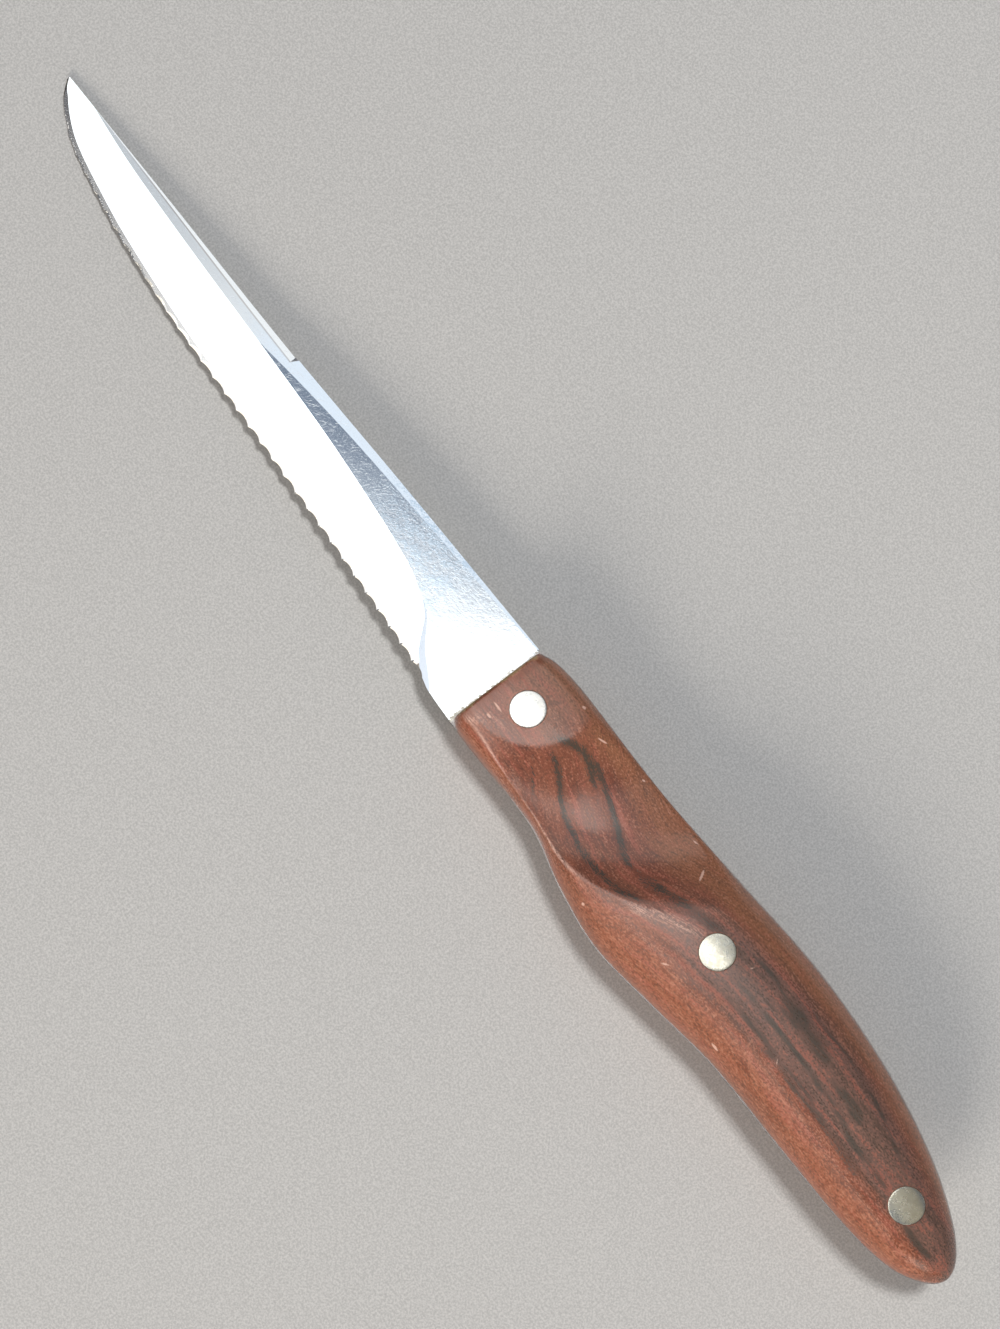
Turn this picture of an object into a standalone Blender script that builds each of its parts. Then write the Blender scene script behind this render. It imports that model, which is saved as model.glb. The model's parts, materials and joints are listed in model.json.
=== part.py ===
"""Slicing knife: a scalloped steel blade with a full tang, two wooden scales and three two-piece rivets.

The knife is drawn flat, with +X to the tip, +Y to the cutting edge and +Z out of the upper scale. X is 0
where the handle begins. One empty then lays it on a table, on the tip and on the swell of the lower scale.
"""
import bisect
import math

import bmesh
import bpy
from mathutils import Matrix, Vector

# Blade and tang
BLADE_LENGTH = 0.1228
BLADE_DEPTH = 0.0185
BLADE_STOCK = 0.0018
SPINE_OFFSET = 0.00887
EDGE_HALF_THICKNESS = 0.00025
EDGE_LAND = 0.0001
BACK_FACET_ANGLE = math.radians(3.5)
TIP_BLUNTING = 0.00015
HEEL_LENGTH = 0.0085

# Scallops of the edge, ground on the upper face only
SCALLOP_PITCH = 0.00333
SCALLOP_RADIUS = 0.0029
SCALLOP_BEVEL = 0.0011
GRIND_FADE = 2 * SCALLOP_BEVEL
PLAIN_TIP = 0.004
SHALLOW_START = 0.055
SHALLOW_END = 0.085
SHALLOW_SHARE = 0.68

# False edge on the front half of the spine
FALSE_EDGE_START = 0.0616
FALSE_EDGE_END = 0.119
FALSE_EDGE_WIDTH = 0.00105
FALSE_EDGE_ANGLE = math.radians(12)

# Handle
HANDLE_LENGTH = 0.1182
HANDLE_WIDTH = 0.0248
SCALE_HEIGHT = 0.0084
SHOULDER_BLEND = 0.0028
BUTT_ROUNDING = 0.012
FRONT_ROUNDING = 0.0007
FRONT_SLANT = 0.031
SLANT_LENGTH = 0.006

# Flat land round the front rivet, and the thumb hollow that rolls off to the spine and scoops up to the edge
LAND_HEIGHT = 0.0054
LAND_RADIUS = 0.0118
LAND_SOFTNESS = 0.0007
LAND_CENTRE = Vector((-0.0032, -0.0055))
HOLLOW_DEPTH = 0.0018
HOLLOW_FALL = 0.012
HOLLOW_CENTRE = Vector((-0.03, -0.0001))
HOLLOW_RADIUS = 0.0165
HOLLOW_ANGLE = math.radians(50)
HOLLOW_REACH = 0.016
ROLL_LINE = 0.002
ROLL_RADIUS = 0.06
SCOOP_LINE = 0.0035
SCOOP_RADIUS = 0.036

# Line where the hollow meets the rounded scale: a crease on the edge side, softer to the spine and the rear
CREASE_SOFTNESS = 0.0002
SPINE_SOFTNESS = 0.0014
CREST_START = 0.03
CREST_END = 0.045
SOFTENING_START = 0.3
CREST_SOFTENING = 0.45
SOFTENING_SPAN = 0.8

# Rivets: a stud with a solid pin presses into the tube of a barrel
RIVET_HEAD_DIAMETER = 0.006
BARREL_DIAMETER = 0.004
PIN_DIAMETER = 0.002
HEAD_SEAT = 0.0026
BARREL_BASE = 0.001
FRONT_RIVET_INSET = 0.0066
FRONT_RIVET_Y = -0.001
MIDDLE_RIVET_INSET = 0.0554
MIDDLE_RIVET_Y = 0.0003
BUTT_RIVET_INSET = 0.0136
BUTT_RIVET_Y = 0.0023

# Clearances
BOND_GAP = 0.0003
RIVET_GAP = 0.0003

# Mesh fineness
POINT_GAP = 0.00006
FACET_GAP = 2 * POINT_GAP
GRIND_GAP = 3 * POINT_GAP
MERGE_GAP = POINT_GAP / 10
FRONT_CLEARANCE = 2 * FRONT_ROUNDING
TIP_REACH = 2 * TIP_BLUNTING
CUTTER_REACH = 2 * SCALE_HEIGHT
SHARP_ANGLE = math.radians(30)
BLADE_COLUMNS = 6
SCALLOP_STEPS = 5
HEEL_STEPS = 8
TIP_STEPS = 8
FRONT_STEPS = 3
SCALE_STATIONS = 46
SCALE_COLUMNS = 20
ROUND_SIDES = 32

# Plain colours and finishes
STEEL_COLOUR = (0.62, 0.64, 0.66)
STEEL_ROUGHNESS = 0.22
WOOD_COLOUR = (0.24, 0.09, 0.055)
WOOD_ROUGHNESS = 0.42
NICKEL_COLOUR = (0.66, 0.64, 0.58)
NICKEL_ROUGHNESS = 0.3

# Outlines and profiles. Blade curves: share of the blade's length from the handle, then share of its depth
# from the spine. Handle curves: share of the handle's length from its front, then share of its width, height.
SPINE_CURVE = ((0.0, 0.0), (0.27, 0.006), (0.53, 0.024), (0.8, 0.008), (1.0, 0.002))
EDGE_CURVE = (
    (0.0, 1.0), (0.052, 0.976), (0.072, 0.943), (0.265, 0.835), (0.505, 0.728), (0.64, 0.67), (0.776, 0.571),
    (0.845, 0.492), (0.913, 0.392), (0.9475, 0.303), (0.982, 0.158), (1.0, 0.024),
)
GRIND_CURVE = (
    (0.0, 1.3), (0.052, 0.957), (0.098, 0.76), (0.131, 0.564), (0.198, 0.41), (0.264, 0.344), (0.398, 0.255),
    (0.555, 0.192), (0.708, 0.142), (0.844, 0.085), (0.919, 0.029), (1.0, -0.05),
)
BACK_FACET_CURVE = ((0.0, 0.016), (0.132, 0.0427), (0.265, 0.069), (0.398, 0.105), (0.532, 0.177), (1.0, 0.5))
SPINE_SIDE = (
    (0.0, -0.343), (0.027, -0.386), (0.08, -0.406), (0.26, -0.392), (0.4, -0.415), (0.57, -0.448),
    (0.717, -0.396), (0.85, -0.266), (0.94, -0.105), (0.985, 0.035), (1.0, 0.173),
)
EDGE_SIDE = (
    (0.0, 0.358), (0.014, 0.388), (0.13, 0.397), (0.19, 0.419), (0.266, 0.517), (0.36, 0.583), (0.468, 0.537),
    (0.58, 0.476), (0.72, 0.475), (0.86, 0.467), (0.94, 0.413), (0.985, 0.298), (1.0, 0.173),
)
SWELL_CURVE = (
    (0.0, 0.72), (0.12, 0.74), (0.25, 0.82), (0.38, 0.94), (0.5, 1.0), (0.62, 0.98), (0.75, 0.89),
    (0.88, 0.77), (1.0, 0.66),
)
SQUARENESS_CURVE = ((0.0, 3.2), (0.25, 2.8), (0.45, 2.3), (1.0, 2.2))


def clear_scene():
    for item in list(bpy.data.objects):
        bpy.data.objects.remove(item, do_unlink=True)


def smooth_curve(points):
    """A function that runs smoothly through points whose first numbers increase."""
    stations = [point[0] for point in points]
    values = [point[1] for point in points]
    last = len(points) - 1
    slopes = []
    for i in range(len(points)):
        before = max(i - 1, 0)
        after = min(i + 1, last)
        slopes.append((values[after] - values[before]) / (stations[after] - stations[before]))

    def value(station):
        i = min(max(bisect.bisect_right(stations, station) - 1, 0), last - 1)
        span = stations[i + 1] - stations[i]
        t = (station - stations[i]) / span
        start = (1 + 2 * t) * (1 - t) ** 2 * values[i] + t * (1 - t) ** 2 * span * slopes[i]
        end = t * t * (3 - 2 * t) * values[i + 1] + t * t * (t - 1) * span * slopes[i + 1]
        return start + end

    return value


def outline_curve(points):
    """A handle outline, smooth in the root of the distance from the butt, so that its end comes out round."""
    rooted = [(math.sqrt(1 - share), value) for share, value in reversed(points)]
    curve = smooth_curve(rooted)
    return lambda share: curve(math.sqrt(max(1 - share, 0)))


spine_share = smooth_curve(SPINE_CURVE)
edge_share = smooth_curve(EDGE_CURVE)
grind_share = smooth_curve(GRIND_CURVE)
back_facet_share = smooth_curve(BACK_FACET_CURVE)
spine_side_share = outline_curve(SPINE_SIDE)
edge_side_share = outline_curve(EDGE_SIDE)
swell_share = smooth_curve(SWELL_CURVE)
squareness = smooth_curve(SQUARENESS_CURVE)


def finish(name, colour, roughness, metallic=0.0):
    """A plain Principled material."""
    material = bpy.data.materials.new(name)
    material.use_nodes = True
    shader = material.node_tree.nodes["Principled BSDF"]
    shader.inputs["Base Color"].default_value = (*colour, 1.0)
    shader.inputs["Roughness"].default_value = roughness
    shader.inputs["Metallic"].default_value = metallic
    material.diffuse_color = (*colour, 1.0)
    return material


def metal(name, colour, roughness):
    return finish(name, colour, roughness, 1.0)


def add_object(name, bm, parent, material=None):
    """Turn a bmesh into an object under the parent, with faces outward and round faces shaded smooth."""
    bmesh.ops.recalc_face_normals(bm, faces=bm.faces)
    mesh = bpy.data.meshes.new(name)
    bm.to_mesh(mesh)
    bm.free()
    mesh.shade_smooth()
    mesh.set_sharp_from_angle(angle=SHARP_ANGLE)
    made = bpy.data.objects.new(name, mesh)
    bpy.context.collection.objects.link(made)
    made.parent = parent
    if material:
        mesh.materials.append(material)
    return made


def add_cutter(name, bm, parent):
    """A hidden body that only shapes other pieces."""
    cutter = add_object(name, bm, parent)
    cutter.hide_render = True
    cutter.display_type = "WIRE"
    return cutter


def shape_with(target, cutter, operation):
    boolean = target.modifiers.new(cutter.name, "BOOLEAN")
    boolean.operation = operation
    boolean.object = cutter


def loft(sections):
    """A closed body through rings of equally many points, capped at both ends."""
    bm = bmesh.new()
    rings = [[bm.verts.new(point) for point in section] for section in sections]
    count = len(rings[0])
    for ring, following in zip(rings, rings[1:]):
        for i in range(count):
            j = (i + 1) % count
            bm.faces.new((ring[i], ring[j], following[j], following[i]))
    bm.faces.new(rings[0])
    bm.faces.new(rings[-1])
    return bm


def turned(profile, x, y):
    """A body turned about the vertical through (x, y). Its profile of (radius, height) ends on the axis."""
    bm = bmesh.new()
    verts = [bm.verts.new((radius, 0, height)) for radius, height in profile]
    edges = [bm.edges.new(pair) for pair in zip(verts, verts[1:])]
    bmesh.ops.spin(
        bm, geom=verts + edges, axis=(0, 0, 1), cent=(0, 0, 0), steps=ROUND_SIDES, angle=math.tau,
        use_merge=True,
    )
    bmesh.ops.remove_doubles(bm, verts=bm.verts, dist=MERGE_GAP)
    bmesh.ops.translate(bm, verts=bm.verts, vec=(x, y, 0))
    return bm


def ramp(value, low, high):
    """0 below low and 1 above high, smooth between."""
    t = min(max((value - low) / (high - low), 0.0), 1.0)
    return t * t * (3 - 2 * t)


def blade_y(share_of_depth):
    """Height across the blade, from a share of its depth below the spine."""
    return BLADE_DEPTH * share_of_depth - SPINE_OFFSET


def scallop_count():
    return int((BLADE_LENGTH - PLAIN_TIP - HEEL_LENGTH) / SCALLOP_PITCH)


def scallop_lift(x):
    """How far the edge stands in from the line through the points of the scallops."""
    along = (x - HEEL_LENGTH) / SCALLOP_PITCH
    if not 0 <= along <= scallop_count():
        return 0.0
    offset = (along - math.floor(along) - 0.5) * SCALLOP_PITCH
    half = SCALLOP_PITCH / 2
    depth = math.sqrt(SCALLOP_RADIUS ** 2 - offset ** 2) - math.sqrt(SCALLOP_RADIUS ** 2 - half ** 2)
    return depth * (1 - SHALLOW_SHARE * ramp(x, SHALLOW_START, SHALLOW_END))


def false_edge_width(x):
    if x < FALSE_EDGE_START:
        return 0.0
    run = (FALSE_EDGE_END - x) / (FALSE_EDGE_END - FALSE_EDGE_START)
    return FALSE_EDGE_WIDTH * max(run, 0.0)


def blade_section(x):
    """Ring of points round the blade at x: along the upper face from spine to edge, back along the lower."""
    share = x / BLADE_LENGTH
    half = BLADE_STOCK / 2
    spine = blade_y(spine_share(share))
    points = blade_y(edge_share(share))
    edge = points - scallop_lift(x)
    grind = min(blade_y(grind_share(share)), edge - GRIND_GAP)
    grind = max(grind, spine + GRIND_GAP)
    back_line = blade_y(back_facet_share(share))
    facet = min(max(back_line, spine + FACET_GAP), grind - POINT_GAP)
    fall = math.tan(BACK_FACET_ANGLE)

    def back_height(y):
        return half - fall * max(back_line - y, 0.0)

    # Where the grind has run out at the heel, the edge keeps the full stock.
    ground = min((edge - grind) / GRIND_FADE, 1.0)
    grind_height = back_height(grind)
    edge_height = grind_height + (min(EDGE_HALF_THICKNESS, grind_height) - grind_height) * ground
    bevel = max(edge - SCALLOP_BEVEL * ground, grind + POINT_GAP)
    bevel_share = (bevel - grind) / (edge - grind)
    bevel_height = grind_height + (edge_height - grind_height) * bevel_share
    strip = false_edge_width(x)
    strip_foot = min(spine + max(strip, POINT_GAP), facet - POINT_GAP)
    spine_height = back_height(spine) - math.tan(FALSE_EDGE_ANGLE) * strip
    apex = edge_height * (1 - ground) + (EDGE_LAND - edge_height) * ground
    upper = (
        (spine, spine_height), (strip_foot, back_height(strip_foot)), (facet, back_height(facet)),
        (grind, grind_height), (bevel, bevel_height), (edge, apex),
    )
    lower = (
        (edge, -edge_height), (bevel, -bevel_height), (grind, -grind_height), (facet, -back_height(facet)),
        (strip_foot, -back_height(strip_foot)), (spine, -spine_height),
    )
    return [Vector((x, y, z)) for y, z in upper + lower]


def handle_sides(share):
    return HANDLE_WIDTH * spine_side_share(share), HANDLE_WIDTH * edge_side_share(share)


def tang_section(x):
    """Ring of the flat tang, with as many points as the blade's ring. Its outline is the handle's."""
    near, far = handle_sides(-x / HANDLE_LENGTH)
    half = BLADE_STOCK / 2
    heel = [point.y for point in blade_section(0.0)[:BLADE_COLUMNS]]
    fade = min(-x / SHOULDER_BLEND, 1.0)
    near = near * fade + min(heel[0], near) * (1 - fade)
    far = far * fade + max(heel[-1], far) * (1 - fade)
    across = [near + (far - near) * (y - heel[0]) / (heel[-1] - heel[0]) for y in heel]
    upper = [Vector((x, y, half)) for y in across]
    return upper + [Vector((x, y, -half)) for y in reversed(across)]


def blade_stations():
    """Places along the blade from tip to heel: a few on every scallop, and both sides of each step."""
    tip = BLADE_LENGTH - TIP_BLUNTING
    step = SCALLOP_PITCH / SCALLOP_STEPS
    places = [HEEL_LENGTH + step * i for i in range(scallop_count() * SCALLOP_STEPS + 1)]
    plain = tip - places[-1]
    places += [places[-1] + plain * i / TIP_STEPS for i in range(1, TIP_STEPS + 1)]
    places += [HEEL_LENGTH * i / HEEL_STEPS for i in range(HEEL_STEPS)]
    places += [FALSE_EDGE_START - POINT_GAP, FALSE_EDGE_START]
    return sorted(places, reverse=True)


def handle_stations():
    """Places along the handle from its front to its butt, close together where it turns in."""
    quarter = math.pi / 2
    front = [-FRONT_ROUNDING * (1 - math.cos(quarter * i / FRONT_STEPS)) for i in range(FRONT_STEPS + 1)]
    back = [-HANDLE_LENGTH * math.sin(quarter * i / SCALE_STATIONS) for i in range(1, SCALE_STATIONS)]
    return front + [x for x in back if x < -FRONT_CLEARANCE] + [POINT_GAP - HANDLE_LENGTH]


def grip_cut(x, y):
    """Height of the sculpted surface on the handle's front: the flat land, its fall and the thumb hollow."""
    place = Vector((x, y))
    beyond = (place - LAND_CENTRE).length - LAND_RADIUS
    outside = (beyond + math.hypot(beyond, LAND_SOFTNESS)) / (2 * HOLLOW_FALL)
    roll = max(ROLL_LINE - y, 0.0) ** 2 / (2 * ROLL_RADIUS)
    scoop = max(y - SCOOP_LINE, 0.0) ** 2 / (2 * SCOOP_RADIUS)
    fall = (HOLLOW_DEPTH + roll - scoop) * (1 - max(1 - outside, 0.0) ** 2)
    back = Vector((-math.cos(HOLLOW_ANGLE), -math.sin(HOLLOW_ANGLE)))
    along = max((place - HOLLOW_CENTRE).dot(back) - HOLLOW_REACH, 0.0)
    climb = max((place - HOLLOW_CENTRE).dot(Vector((back.y, -back.x))), 0.0)
    return LAND_HEIGHT - fall + (climb ** 2 + along ** 2) / (2 * HOLLOW_RADIUS)


def soft_minimum(a, b, softness):
    overlap = max(softness - abs(a - b), 0.0)
    return min(a, b) - overlap ** 2 / (4 * softness)


def end_rounding(distance, radius):
    """A quarter ellipse that rises from 0 at an end to 1 at the radius."""
    run = min(max(distance / radius, 0.0), 1.0)
    return math.sqrt(1 - (1 - run) ** 2)


def scale_arc(x):
    """Points (y, height above the tang) over a scale at x, from the spine side to the edge side."""
    share = -x / HANDLE_LENGTH
    near, far = handle_sides(share)
    middle = (near + far) / 2
    half_width = (far - near) / 2
    power = squareness(share)
    butt = end_rounding(HANDLE_LENGTH + x, BUTT_ROUNDING)
    front = FRONT_ROUNDING * (1 - end_rounding(-x, FRONT_ROUNDING))
    softening = SOFTENING_START + CREST_SOFTENING * ramp(-x, CREST_START, CREST_END)
    arc = []
    for i in range(SCALE_COLUMNS + 1):
        angle = math.pi * i / SCALE_COLUMNS
        side = -math.copysign(abs(math.cos(angle)) ** (2 / power), math.cos(angle))
        crown = SCALE_HEIGHT * swell_share(share) * butt * math.sin(angle) ** (2 / power)
        y = middle + half_width * side
        spine_part = min(max((softening - side) / SOFTENING_SPAN, 0.0), 1.0)
        softness = CREASE_SOFTNESS + (SPINE_SOFTNESS - CREASE_SOFTNESS) * spine_part
        height = soft_minimum(crown, grip_cut(x, y), softness)
        rounding = front * min(height / LAND_HEIGHT, 1.0)
        arc.append((y, max(height - rounding, 0.0)))
    arc[0] = (near, 0.0)
    arc[-1] = (far, 0.0)
    return arc


def scale_face(x, side):
    """Points of the sculpted face at x. Near the front they lean back towards the spine side."""
    base = BLADE_STOCK / 2 + BOND_GAP
    arc = scale_arc(x)
    far = arc[-1][0]
    lean = FRONT_SLANT * max(1 + x / SLANT_LENGTH, 0.0) ** 2
    return [Vector((x - lean * (far - y), y, side * (base + height))) for y, height in arc]


def scale_form(side):
    """The whole sculpted half of the handle on one side of the tang, before its holes."""
    return loft([scale_face(x, side) for x in handle_stations()])


def rivet_places():
    return {
        "front": (-FRONT_RIVET_INSET, FRONT_RIVET_Y),
        "middle": (-MIDDLE_RIVET_INSET, MIDDLE_RIVET_Y),
        "butt": (BUTT_RIVET_INSET - HANDLE_LENGTH, BUTT_RIVET_Y),
    }


def make_blade(parent):
    """The blade and its full tang, one piece of steel with a hole for every rivet."""
    sections = [blade_section(x) for x in blade_stations()]
    sections += [tang_section(x) for x in handle_stations()[1:]]
    material = metal("blade_steel", STEEL_COLOUR, STEEL_ROUGHNESS)
    blade = add_object("blade_and_tang", loft(sections), parent, material)
    radius = BARREL_DIAMETER / 2 + RIVET_GAP
    for name, (x, y) in rivet_places().items():
        reach = BLADE_STOCK
        hole = turned(((0, reach), (radius, reach), (radius, -reach), (0, -reach)), x, y)
        shape_with(blade, add_cutter(f"{name}_tang_hole", hole, parent), "DIFFERENCE")
    return blade


def make_scale(name, side, parent):
    """One scale, with a hole for each rivet's tube and a wider one for its head."""
    material = finish(f"{name}_wood", WOOD_COLOUR, WOOD_ROUGHNESS)
    scale = add_object(name, scale_form(side), parent, material)
    base = BLADE_STOCK / 2 + BOND_GAP
    tube = BARREL_DIAMETER / 2 + RIVET_GAP
    head = RIVET_HEAD_DIAMETER / 2 + RIVET_GAP
    top = base + CUTTER_REACH
    profile = ((0, top), (head, top), (head, base + HEAD_SEAT), (tube, base + HEAD_SEAT), (tube, 0), (0, 0))
    for rivet, (x, y) in rivet_places().items():
        bored = [(radius, side * height) for radius, height in profile]
        shape_with(scale, add_cutter(f"{rivet}_{name}_hole", turned(bored, x, y), parent), "DIFFERENCE")
    return scale


def make_rivet(name, x, y, forms, parent):
    """A stud from above and a barrel from below, with heads cut to the sculpted faces of the scales."""
    seat = BLADE_STOCK / 2 + BOND_GAP + HEAD_SEAT
    head_base = seat + RIVET_GAP
    top = seat + CUTTER_REACH
    head = RIVET_HEAD_DIAMETER / 2
    tube = BARREL_DIAMETER / 2
    pin = PIN_DIAMETER / 2
    bore = pin + RIVET_GAP
    floor = BARREL_BASE - head_base
    stud = ((0, top), (head, top), (head, head_base), (pin, head_base), (pin, floor + RIVET_GAP),
            (0, floor + RIVET_GAP))
    barrel = ((0, floor), (bore, floor), (bore, head_base - RIVET_GAP), (tube, head_base - RIVET_GAP),
              (tube, -head_base), (head, -head_base), (head, -top), (0, -top))
    made = []
    for half, profile in (("stud", stud), ("barrel", barrel)):
        material = metal(f"{name}_{half}_nickel_silver", NICKEL_COLOUR, NICKEL_ROUGHNESS)
        piece = add_object(f"{name}_rivet_{half}", turned(profile, x, y), parent, material)
        shape_with(piece, forms[half], "INTERSECT")
        made.append(piece)
    return made


def make_form(name, side, parent):
    """The sculpted face of one scale with deep room behind it, to finish rivet heads flush."""
    depth = BLADE_STOCK / 2 + BOND_GAP + HEAD_SEAT + SCALE_HEIGHT
    sections = []
    for x in handle_stations():
        face = scale_face(x, side)
        behind = [Vector((point.x, point.y, -side * depth)) for point in (face[-1], face[0])]
        sections.append(face + behind)
    return add_cutter(name, loft(sections), parent)


def world_points(item):
    graph = bpy.context.evaluated_depsgraph_get()
    shaped = item.evaluated_get(graph)
    return [item.matrix_world @ vertex.co for vertex in shaped.data.vertices]


def lay_down(knife, pieces):
    """Pitch the knife until its tip and the swell of its handle touch z = 0, centred over the origin."""
    bpy.context.view_layer.update()
    points = [point for piece in pieces for point in world_points(piece)]
    tip = min((p for p in points if p.x > BLADE_LENGTH - TIP_REACH), key=lambda p: p.z)
    pitch = max(math.atan2(tip.z - p.z, tip.x - p.x) for p in points if p.x < 0)
    turn = Matrix.Rotation(pitch, 4, "Y")
    laid = [turn @ point for point in points]
    middle_x = (min(p.x for p in laid) + max(p.x for p in laid)) / 2
    middle_y = (min(p.y for p in laid) + max(p.y for p in laid)) / 2
    knife.rotation_euler = (0, pitch, 0)
    knife.location = (-middle_x, -middle_y, -min(p.z for p in laid))


def build():
    clear_scene()
    knife = bpy.data.objects.new("knife", None)
    bpy.context.collection.objects.link(knife)
    pieces = [make_blade(knife)]
    pieces.append(make_scale("scale_upper", 1, knife))
    pieces.append(make_scale("scale_lower", -1, knife))
    forms = {"stud": make_form("upper_form", 1, knife), "barrel": make_form("lower_form", -1, knife)}
    for name, (x, y) in rivet_places().items():
        pieces += make_rivet(name, x, y, forms, knife)
    lay_down(knife, pieces)


build()
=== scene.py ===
import bisect
import json
import math

import bmesh
import bpy
from mathutils import Matrix, Vector


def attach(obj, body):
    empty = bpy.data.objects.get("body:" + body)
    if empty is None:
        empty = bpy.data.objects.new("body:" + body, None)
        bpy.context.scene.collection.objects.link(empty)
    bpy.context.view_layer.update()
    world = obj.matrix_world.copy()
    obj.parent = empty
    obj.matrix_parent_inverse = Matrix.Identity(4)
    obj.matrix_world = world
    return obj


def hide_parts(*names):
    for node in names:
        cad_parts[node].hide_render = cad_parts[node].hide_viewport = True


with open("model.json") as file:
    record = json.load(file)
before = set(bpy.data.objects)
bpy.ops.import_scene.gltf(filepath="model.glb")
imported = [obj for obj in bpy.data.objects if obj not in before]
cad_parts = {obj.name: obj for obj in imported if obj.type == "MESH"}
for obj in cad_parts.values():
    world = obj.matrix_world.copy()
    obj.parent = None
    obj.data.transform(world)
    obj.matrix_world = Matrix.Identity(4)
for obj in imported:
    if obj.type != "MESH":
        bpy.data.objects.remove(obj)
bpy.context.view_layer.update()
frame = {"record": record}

# Blade and tang: one blank of polished stainless steel. A curved plunge starts the main bevel of each face,
# the back is bevelled too, with a false edge on its front half, and a wheel has ground scallops from above.
# The tang behind the blade is a flat plate with the outline of the handle, drilled for three rivets.
BLADE_LENGTH = 0.1228
BLADE_DEPTH = 0.0185
BLADE_STOCK = 0.0018
SPINE_OFFSET = 0.00887
TIP_BLUNTING = 0.00015
BACK_FACET_ANGLE = math.radians(3.5)
EDGE_HALF_THICKNESS = 0.00013
EDGE_LAND = 0.00004
HONED_WIDTH = 0.00095
HONED_SHARE = 0.3
HONED_ANGLE = math.radians(15)
PLUNGE_ANGLE = math.radians(30)
SCALLOP_ANGLE = math.radians(27)
SHALLOW_SHARE = 0.68
SHALLOW_START = 0.055
SHALLOW_END = 0.085
SCALLOP_PITCH = 0.00333
SCALLOP_RADIUS = 0.0029
SCALLOP_START = 0.0085
SCALLOP_COUNT = 33
HEEL_START = 0.0072
FALSE_EDGE_START = 0.0616
FALSE_EDGE_END = 0.119
FALSE_EDGE_WIDTH = 0.00105
FALSE_EDGE_DROP = 0.00018
FALSE_EDGE_NICK = 0.0007
FALSE_EDGE_ANGLE = math.radians(12)
FALSE_EDGE_RINGS = (0.01, 0.99)
HANDLE_LENGTH = 0.11815
HANDLE_WIDTH = 0.0248
SHOULDER_BLEND = 0.0028
RIVET_PLACES = {"front": (-0.0066, -0.001), "middle": (-0.0554, 0.0003), "butt": (-0.1046, 0.0023)}
RIVET_TUBE_RADIUS = 0.002
RIVET_EASE = 0.00004
SCALLOP_STEPS = 20
HEEL_STEPS = 60
TIP_STEPS = 44
TANG_STEPS = 150
DRILL_SIDES = 64
GROUND_FLUSH = 0.00003
BEVEL_COLUMNS = 6
LEAST_STEP = 0.000004
SHARP_ANGLE = math.radians(24)
MILLIMETRES = 1000

# Pieces are made level, from the middle of the handle's front: x to the tip, y to the edge and z up. The
# knife lies pitched on its tip and its palm swell, and the mount on the flat of the blade says how far.
MOUNT_PLACE = Vector((0.013, -0.003, BLADE_STOCK / 2))
mount = frame["record"]["mounts"][0]
LYING = Matrix.Rotation(math.asin(mount["axis"][0]), 4, "Y")
LYING.translation = Vector(mount["pos_m"]) - LYING @ MOUNT_PLACE


def smooth_curve(points):
    """A function that runs smoothly through points whose first numbers increase."""
    stations = [point[0] for point in points]
    values = [point[1] for point in points]
    last = len(points) - 1
    slopes = []
    for i in range(len(points)):
        before = max(i - 1, 0)
        after = min(i + 1, last)
        slopes.append((values[after] - values[before]) / (stations[after] - stations[before]))

    def value(station):
        i = min(max(bisect.bisect_right(stations, station) - 1, 0), last - 1)
        span = stations[i + 1] - stations[i]
        t = (station - stations[i]) / span
        start = (1 + 2 * t) * (1 - t) ** 2 * values[i] + t * (1 - t) ** 2 * span * slopes[i]
        end = t * t * (3 - 2 * t) * values[i + 1] + t * t * (t - 1) * span * slopes[i + 1]
        return start + end

    return value


def outline_curve(points):
    """A handle outline, smooth in the root of the distance from the butt, so that its end comes out round."""
    curve = smooth_curve([(math.sqrt(1 - share), value) for share, value in reversed(points)])
    return lambda share: curve(math.sqrt(max(1 - share, 0)))


# Shares of the blade's length from the handle, with shares of its depth from the spine
spine_share = smooth_curve(((0, 0), (0.27, 0.006), (0.53, 0.024), (0.8, 0.008), (1, 0.002)))
edge_share = smooth_curve((
    (0, 1), (0.052, 0.976), (0.072, 0.943), (0.265, 0.835), (0.505, 0.728), (0.64, 0.67), (0.776, 0.571),
    (0.845, 0.492), (0.913, 0.392), (0.9475, 0.303), (0.982, 0.158), (1, 0.024),
))
plunge_share = smooth_curve((
    (0, 1.3), (0.052, 0.957), (0.098, 0.76), (0.131, 0.564), (0.165, 0.47), (0.198, 0.41), (0.264, 0.344),
))
bevel_share = smooth_curve((
    (0, 0.52), (0.1, 0.465), (0.198, 0.405), (0.264, 0.344), (0.398, 0.255), (0.555, 0.192), (0.708, 0.142),
    (0.844, 0.085), (0.919, 0.029), (1, -0.05),
))
facet_share = smooth_curve((
    (0, 0.016), (0.132, 0.0427), (0.265, 0.069), (0.398, 0.105), (0.532, 0.177), (1, 0.5),
))
PLUNGE_END_SHARE = 0.2
PLUNGE_STEP = 0.002

# Shares of the handle's length from its front, with shares of its width
spine_side_share = outline_curve((
    (0, -0.343), (0.027, -0.386), (0.08, -0.406), (0.26, -0.392), (0.4, -0.415), (0.57, -0.448),
    (0.717, -0.396), (0.85, -0.266), (0.94, -0.105), (0.985, 0.035), (1, 0.173),
))
edge_side_share = outline_curve((
    (0, 0.358), (0.014, 0.388), (0.13, 0.397), (0.19, 0.419), (0.266, 0.517), (0.36, 0.583), (0.468, 0.537),
    (0.58, 0.476), (0.72, 0.475), (0.86, 0.467), (0.94, 0.413), (0.985, 0.298), (1, 0.173),
))


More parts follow.
